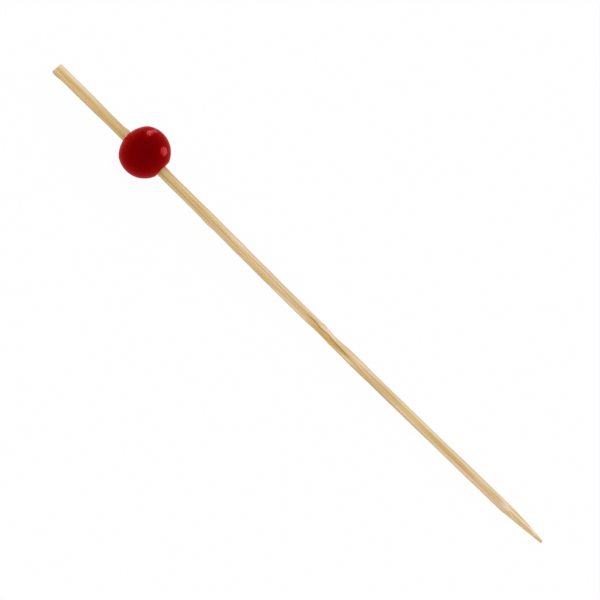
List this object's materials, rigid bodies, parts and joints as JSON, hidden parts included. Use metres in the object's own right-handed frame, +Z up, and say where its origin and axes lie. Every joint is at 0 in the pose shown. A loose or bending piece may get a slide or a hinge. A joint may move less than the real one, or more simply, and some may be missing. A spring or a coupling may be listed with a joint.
{
  "type": "cocktail pick",
  "caption": "Slender bamboo pick with a whittled point and a glossy red ball near its blunt end, for holding a drink garnish or finger food.",
  "frame": {"origin": "middle of the footprint at the surface that the pick lies on", "axes": "+X along the stick towards its point, +Z up, as the pick comes to rest on the ball and on the stick where its point begins"},
  "size_m": [0.12, 0.0094, 0.0094],
  "materials": {
    "bamboo": "natural dry bamboo, unvarnished, fine lengthwise fibres",
    "red_lacquer": "turned wood under deep red gloss lacquer"
  },
  "bodies": {
    "root": {"stick": "bamboo", "bead": "red_lacquer"}
  },
  "joints": []
}
